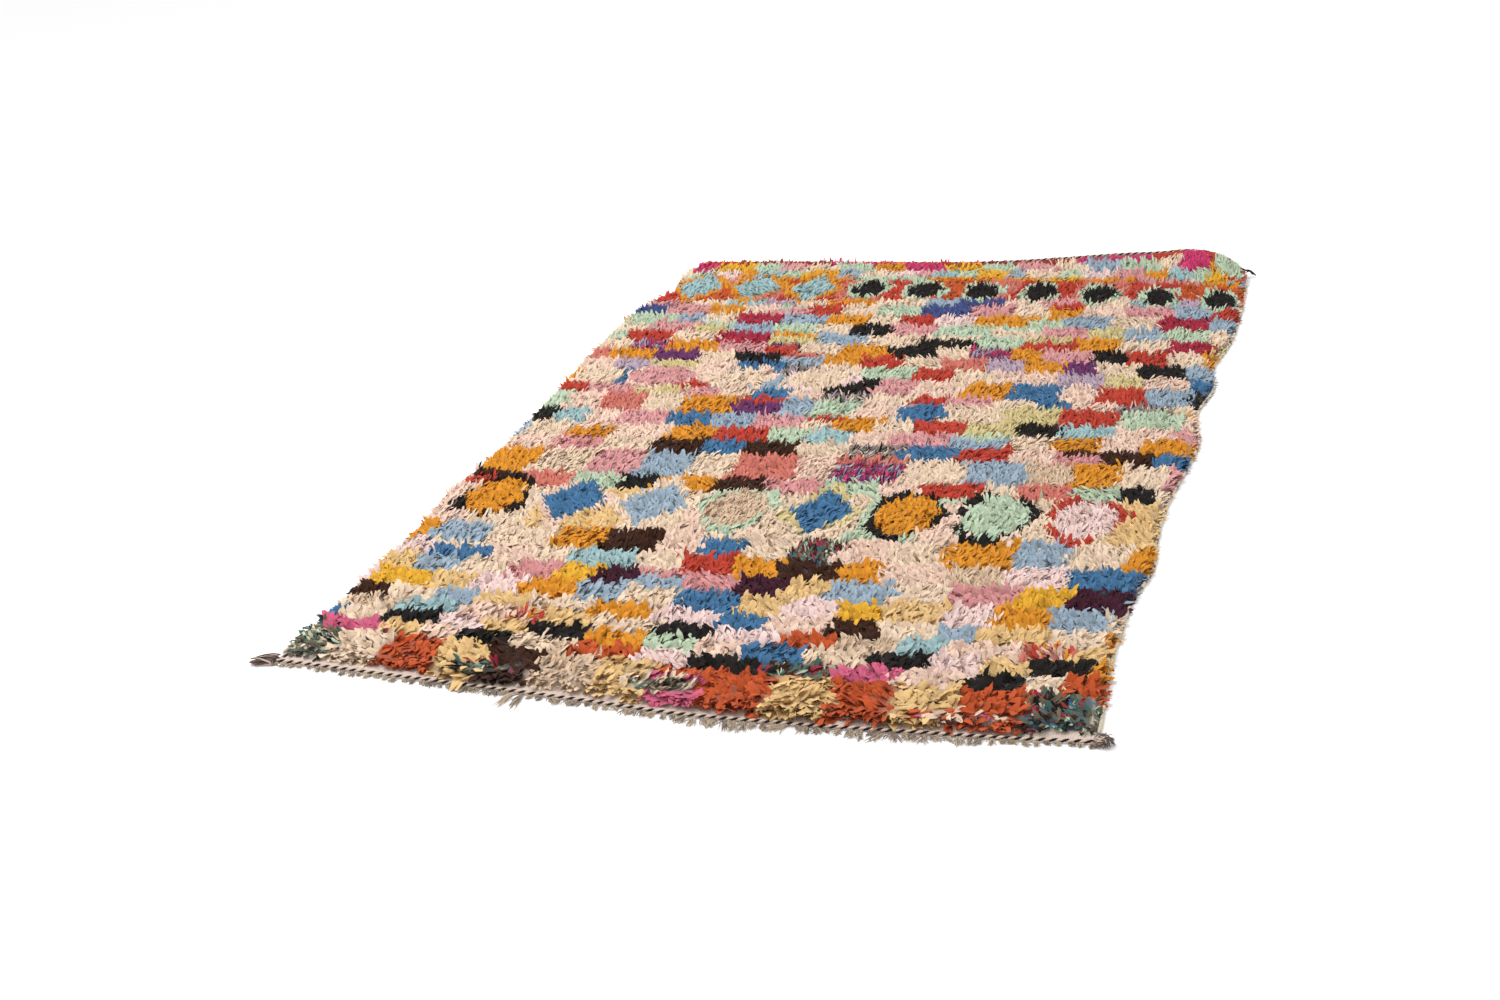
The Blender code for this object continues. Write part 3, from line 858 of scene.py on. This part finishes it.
class RUG_OT_end_cords(bpy.types.Operator):
    """Twines a dark and a cream yarn across each end, and leaves dark ends loose at the far right corner"""

    bl_idname = "rug.end_cords"
    bl_label = "Twined end cords"

    def execute(self, context):
        yarns = context.scene.rug_yarns
        materials = [yarn("cord dark yarn", yarns.cord_dark), yarn("cord cream yarn", yarns.cord_cream)]
        random = np.random.default_rng(SEED + 4)
        steps = CORD_TURNS * 8 + 1
        sides = 6
        radii = np.repeat(STRAND_RADII[:, None], steps, 1)
        radii[:, (0, -1)] *= 0.6
        for name, along in (("near_cord_yarns", 0.0), ("far_cord_yarns", LENGTH)):
            line = end_line(along, GAP + CORD_RADIUS, steps)
            line[:, 2] = 0.9 * CORD_RADIUS
            points = tubes(lay(twined(line)), radii, sides)
            faces = tube_faces(2, steps, sides)
            which = (faces[:, 0] >= steps * sides).astype(int)
            if along:
                root = line[-1] + random.normal(0, 0.0015, (FAR_ENDS, 3))
                heading = random.normal(-0.30, 0.12, FAR_ENDS)
                length = random.uniform(0.016, 0.026, FAR_ENDS)
                level = np.zeros(FAR_ENDS)
                ends = loose_yarns(random, root, heading, length, level + 0.006, level, 0.006, 9)
                ends = tubes(lay(ends), np.full((FAR_ENDS, 9), 0.0016), sides)
                faces = np.concatenate([faces, tube_faces(FAR_ENDS, 9, sides) + points.size // 3])
                which = np.concatenate([which, np.zeros(len(faces) - len(which), int)])
                points = np.concatenate([points.reshape(-1, 3), ends.reshape(-1, 3)])
            node = name.replace("cord_yarns", "twined_cord")
            new_piece(name, points, faces, materials, node, face_material=which)
        return {"FINISHED"}


class RUG_OT_selvedges(bpy.types.Operator):
    """Overcasts the two long sides"""

    bl_idname = "rug.selvedges"
    bl_label = "Overcast sides"

    def execute(self, context):
        yarns = context.scene.rug_yarns
        material = overcast(yarns.selvedge, yarns.stitches)
        steps = 560
        sides = 8
        random = np.random.default_rng(SEED + 1)
        along = np.linspace(NEAR_BAND + PILE_STEP, PILE_END - PILE_STEP, steps)
        for name, across in (("left_selvedge_yarn", -1), ("right_selvedge_yarn", 1)):
            x, y = on_cloth(np.full(steps, across), along, SELVEDGE_RADIUS)
            path = np.stack([x, y, np.full(steps, SELVEDGE_RADIUS)], -1)
            wrap = 1 + 0.10 * np.sin(2 * math.pi * along / 0.0105) + random.normal(0, 0.03, steps)
            radii = SELVEDGE_RADIUS * np.clip(wrap, 0.8, 1.1) * 0.92
            points = tubes(lay(path)[None], radii[None], sides)
            turn = np.broadcast_to(np.arange(sides) * 0.0022, (steps, sides))
            length = np.broadcast_to(along[:, None], (steps, sides))
            maps = {"weave": np.stack([turn, length], -1)}
            node = name.replace("_yarn", "")
            new_piece(name, points, tube_faces(1, steps, sides), [material], node, maps=maps)
        return {"FINISHED"}


def loose_yarns(random, root, heading, length, rise, droop, wander, steps):
    """Paths of loose yarn from their roots: root + length s (cos, sin) of the heading + wander, and a height
    of root + rise sin(pi s) - droop s, never under the floor."""
    n = len(root)
    s = np.linspace(0, 1, steps)
    ahead = np.stack([np.cos(heading), np.sin(heading)], -1)[:, None]
    aside = np.stack([-np.sin(heading), np.cos(heading)], -1)[:, None]
    kink = np.cumsum(random.normal(0, 1, (n, steps)), 1) / steps * wander
    kink -= kink[:, :1]
    flat = root[:, None, :2] + (length[:, None] * s)[..., None] * ahead + kink[..., None] * aside
    height = root[:, None, 2] + rise[:, None] * np.sin(math.pi * s) - droop[:, None] * s
    return np.concatenate([flat, np.maximum(height, 0.0012)[..., None]], -1)


class RUG_OT_warp_fringe(bpy.types.Operator):
    """Hangs the short woolly warp ends outside the near cord"""

    bl_idname = "rug.warp_fringe"
    bl_label = "Warp fringe"

    def execute(self, context):
        yarns = context.scene.rug_yarns
        random = np.random.default_rng(SEED + 2)
        line = end_line(0.0, GAP + 2 * CORD_RADIUS + GAP + STRIP_WIDTH / 2, FRINGE_LOCKS)
        lock = np.repeat(np.arange(FRINGE_LOCKS), YARNS_A_LOCK)
        n = len(lock)
        across = (-0.72, -0.46, -0.30, 0.02, 0.10, 0.55, 0.64)
        usual = np.interp(line[:, 0], across, (9, 13, 18, 17, 27, 27, 10))
        long_lock = 0.001 * usual * random.uniform(0.45, 1.30, FRINGE_LOCKS)
        long_lock = np.where(np.abs(line[:, 0] - TUFT_X) < TUFT_SPREAD, TUFT_LENGTH, long_lock)
        loose = np.where(long_lock == TUFT_LENGTH, 0.3, 1.0)
        lock_heading = -math.pi / 2 + random.normal(0, 0.32, FRINGE_LOCKS) * loose
        spans = ((-0.0038, 0.0038), (0.0, 0.0045), (0.001, 0.0042))
        root = line[lock] + np.stack([random.uniform(low, high, n) for low, high in spans], -1)
        heading = lock_heading[lock] + random.normal(0, 0.34, n) * loose[lock]
        length = long_lock[lock] * random.uniform(0.45, 1.15, n)
        rise = random.uniform(0, 0.003, n)
        droop = random.uniform(0, 0.003, n)
        paths = loose_yarns(random, root, heading, length, rise, droop, 0.006, 6)
        radii = random.uniform(0.0006, 0.0012, n)[:, None] * np.array((0.9, 1.1, 1.1, 1.0, 0.8, 0.35))
        light = linear(yarns.fringe_light)
        dark = linear(yarns.fringe_dark)
        blend = np.clip(random.beta(1.2, 1.2, FRINGE_LOCKS)[lock] + random.normal(0, 0.2, n), 0, 1)
        colour = dark + (light - dark) * blend[:, None]
        new_wool("warp_fringe", paths, radii, colour, wool("warp wool"), "near_fringe")
        return {"FINISHED"}


class RUG_OT_corner_yarns(bpy.types.Operator):
    """Ties the knotted tassel and lays the loose tail at the near corners"""

    bl_idname = "rug.corner_yarns"
    bl_label = "Corner tassel and tail"

    def execute(self, context):
        yarns = context.scene.rug_yarns
        random = np.random.default_rng(SEED + 3)
        brown = linear(yarns.brown)
        cream = linear(yarns.cord_cream)
        material = wool("corner wool")
        left, right = end_line(0.0, GAP + CORD_RADIUS, 2)
        tie_tassel(random, right, brown, cream, material)
        lay_tail(random, left, brown, cream, material)
        return {"FINISHED"}


def tie_tassel(random, corner, brown, cream, material):
    """A knot of tilted rings, middle + size (cos a one + sin a two), with short loose ends round it."""
    middle = corner + np.array((GAP + TASSEL_RADIUS, 0.0, 0.8 * TASSEL_RADIUS * 0.78))
    steps = 14
    s = np.linspace(0, 2 * math.pi, steps)
    axis = random.normal(0, 1, (TASSEL_TURNS, 3))
    axis /= np.linalg.norm(axis, axis=1, keepdims=True)
    one = np.cross(axis, random.normal(0, 1, (TASSEL_TURNS, 3)))
    one /= np.linalg.norm(one, axis=1, keepdims=True)
    two = np.cross(axis, one)
    size = TASSEL_RADIUS * random.uniform(0.72, 0.92, TASSEL_TURNS)
    loops = np.cos(s)[:, None] * one[:, None] + np.sin(s)[:, None] * two[:, None]
    loops = loops * size[:, None, None] * np.array((1.0, 1.0, 0.75)) + middle
    loops[..., 2] = np.maximum(loops[..., 2], 0.0014)
    n = TASSEL_ENDS
    angle = random.uniform(-0.5 * math.pi, 0.75 * math.pi, n)
    ball = np.stack([np.cos(angle), np.sin(angle), random.uniform(-0.4, 0.8, n)], -1)
    root = middle + 0.7 * TASSEL_RADIUS * ball
    heading = angle + random.normal(0, 0.4, n)
    length = random.uniform(0.005, 0.011, n)
    rise = random.uniform(0, 0.003, n)
    droop = random.uniform(0.0, 0.006, n)
    paths = np.concatenate([loops, loose_yarns(random, root, heading, length, rise, droop, 0.006, steps)])
    thin = np.broadcast_to(np.linspace(0.0011, 0.0004, steps), (n, steps))
    radii = np.concatenate([np.full((TASSEL_TURNS, steps), 0.0013), thin])
    blend = (random.random(len(paths)) < 0.22)[:, None] * random.uniform(0.6, 1.0, (len(paths), 1))
    colour = brown * random.uniform(0.4, 1.1, (len(paths), 1)) * (1 - blend) + cream * blend
    upright = (0.31, 0.17, 0.93)
    new_wool("tassel_yarn", paths, radii, colour, material, "corner_tassel", upright)


def lay_tail(random, corner, brown, cream, material):
    """A loose bunch of yarns that leaves the cord's end and thins out."""
    n = TAIL_YARNS
    spread = random.normal(0, 1, n)
    root = corner + np.stack([np.full(n, -GAP), spread * 0.0065, random.uniform(0.001, 0.0115, n)], -1)
    heading = math.pi + 0.32 + spread * 0.13 + random.normal(0, 0.10, n)
    length = random.uniform(0.030, 0.048, n)
    rise = random.uniform(0, 0.004, n)
    droop = random.uniform(0, 0.003, n)
    paths = loose_yarns(random, root, heading, length, rise, droop, 0.008, 9)
    radii = random.uniform(0.0014, 0.0023, n)[:, None] * np.linspace(1.0, 0.45, 9)
    blend = (random.random(n) < 0.15)[:, None] * 0.7
    colour = brown * random.uniform(0.7, 1.6, (n, 1)) * (1 - blend) + cream * blend
    new_wool("tail_yarn", paths, radii, colour, material, "corner_tail")


class RUG_OT_ground_weave(bpy.types.Operator):
    """Lays the flat woven ground under the pile, with its plain band at each end"""

    bl_idname = "rug.ground_weave"
    bl_label = "Ground weave"

    def execute(self, context):
        yarns = context.scene.rug_yarns
        random = np.random.default_rng(SEED)
        rows = lay_out_courses(random)
        places = np.concatenate(
            [
                np.linspace(0, NEAR_BAND, 5),
                NEAR_BAND + np.array((0.004, 0.008, 0.013)),
                np.linspace(NEAR_BAND + 0.02, PILE_END - 0.02, 150),
                PILE_END - np.array((0.013, 0.008, 0.004)),
                np.linspace(PILE_END, LENGTH, 4),
            ]
        )
        edge = np.array((1.0, 0.994, 0.988, 0.980))
        across = np.concatenate([-edge, np.linspace(-0.965, 0.965, 62), edge[::-1]])
        t, along = np.meshgrid(across, places)
        x, y = on_cloth(t, along, EDGE_INSET)
        height = packed_height(t, along)
        height = height + (height - CLOTH_THICK) * random.normal(0, 0.12, x.shape)
        top = np.stack([x, y, height], -1)
        bottom = np.stack([x, y, np.zeros_like(x)], -1)
        rings = np.concatenate([bottom, top[:, ::-1]], 1)
        kind = rag_at(np.random.default_rng(SEED), rows, row_of(t, along), x, along)
        palette, _, shade = tinted(context, random, kind)
        colour = 0.95 * shade[palette, 3]
        colour[along <= NEAR_BAND] = linear(yarns.near_band)
        colour[along >= PILE_END] = linear(yarns.far_band)
        colours = np.concatenate([colour, colour[:, ::-1]], 1)
        flat = np.stack([x, along], -1)
        maps = {"weave": np.concatenate([flat, flat[:, ::-1]], 1)}
        faces = tube_faces(1, len(places), 2 * len(across))
        cloth = [ground_cloth()]
        ground = new_piece(
            "ground_weave_sheet", lay(rings), faces, cloth, "rug_body", colours, maps
        )
        return {"FINISHED"}


class RUG_OT_studio(bpy.types.Operator):
    """Sets the pale floor, the soft light and the camera"""

    bl_idname = "rug.studio"
    bl_label = "Floor, light and camera"

    def execute(self, context):
        studio = context.scene.rug_studio
        material, _, shader = new_material("pale floor", 0.9)
        shader.inputs["Base Color"].default_value = (*linear(studio.floor), 1.0)
        mesh = bpy.data.meshes.new("floor")
        far = 30.0
        low = -0.0004
        corners = [(-far, -far, low), (far, -far, low), (far, far, low), (-far, far, low)]
        mesh.from_pydata(corners, [], [(0, 1, 2, 3)])
        mesh.materials.append(material)
        new_object("floor", mesh)

        world = bpy.data.worlds.new("soft surround")
        world.use_nodes = True
        background = world.node_tree.nodes["Background"]
        background.inputs["Color"].default_value = (1.0, 1.0, 1.0, 1.0)
        background.inputs["Strength"].default_value = studio.sky
        context.scene.world = world
        lamp = bpy.data.lights.new("soft lamp", "AREA")
        lamp.shape = "DISK"
        lamp.size = 3.0
        lamp.energy = studio.lamp
        light = new_object("soft lamp", lamp)
        light.location = (-1.6, -0.4, 3.6)
        light.rotation_euler = (-light.location).to_track_quat("-Z", "Y").to_euler()

        yaw, pitch, roll = (math.radians(angle) for angle in (19.0, 22.6, -4.16))
        ahead = Vector((-math.sin(yaw) * math.cos(pitch), math.cos(yaw) * math.cos(pitch), -math.sin(pitch)))
        level = Vector((math.cos(yaw), math.sin(yaw), 0.0))
        upward = level.cross(ahead)
        right = math.cos(roll) * level + math.sin(roll) * upward
        top = math.cos(roll) * upward - math.sin(roll) * level
        lens = bpy.data.cameras.new("camera")
        lens.lens = studio.lens
        lens.sensor_width = 36.0
        lens.sensor_fit = "HORIZONTAL"
        camera = new_object("camera", lens)
        turn = Matrix((right, top, -ahead)).transposed().to_4x4()
        camera.matrix_world = Matrix.Translation(Vector(studio.camera)) @ turn
        context.scene.camera = camera
        context.scene.view_settings.view_transform = "Standard"
        return {"FINISHED"}


class RUG_PT_pieces(bpy.types.Panel):
    """Lists the rug's pieces, sizes and colours"""

    bl_idname = "RUG_PT_pieces"
    bl_label = "Boucherouite rug"
    bl_space_type = "VIEW_3D"
    bl_region_type = "UI"
    bl_category = "Rug"

    def draw(self, context):
        for operator in OPERATORS:
            self.layout.operator(operator.bl_idname)
        for name, group in GROUPS.items():
            box = self.layout.box()
            for field in group.__annotations__:
                box.prop(getattr(context.scene, name), field)


GROUPS = {"rug_pile": RugPile, "rug_rags": RugRags, "rug_yarns": RugYarns, "rug_studio": RugStudio}
OPERATORS = (
    RUG_OT_rag_pile,
    RUG_OT_end_cords,
    RUG_OT_selvedges,
    RUG_OT_warp_fringe,
    RUG_OT_corner_yarns,
    RUG_OT_ground_weave,
    RUG_OT_studio,
)
CLASSES = (*GROUPS.values(), *OPERATORS, RUG_PT_pieces)


def register():
    for made in CLASSES:
        bpy.utils.register_class(made)
    for name, group in GROUPS.items():
        setattr(bpy.types.Scene, name, bpy.props.PointerProperty(type=group))


def unregister():
    for name in GROUPS:
        delattr(bpy.types.Scene, name)
    for made in reversed(CLASSES):
        bpy.utils.unregister_class(made)


def main():
    """Makes every piece in order."""
    register()
    bpy.ops.rug.rag_pile()
    bpy.ops.rug.end_cords()
    bpy.ops.rug.selvedges()
    bpy.ops.rug.warp_fringe()
    bpy.ops.rug.corner_yarns()
    bpy.ops.rug.ground_weave()
    bpy.ops.rug.studio()


if __name__ == "__main__":
    main()
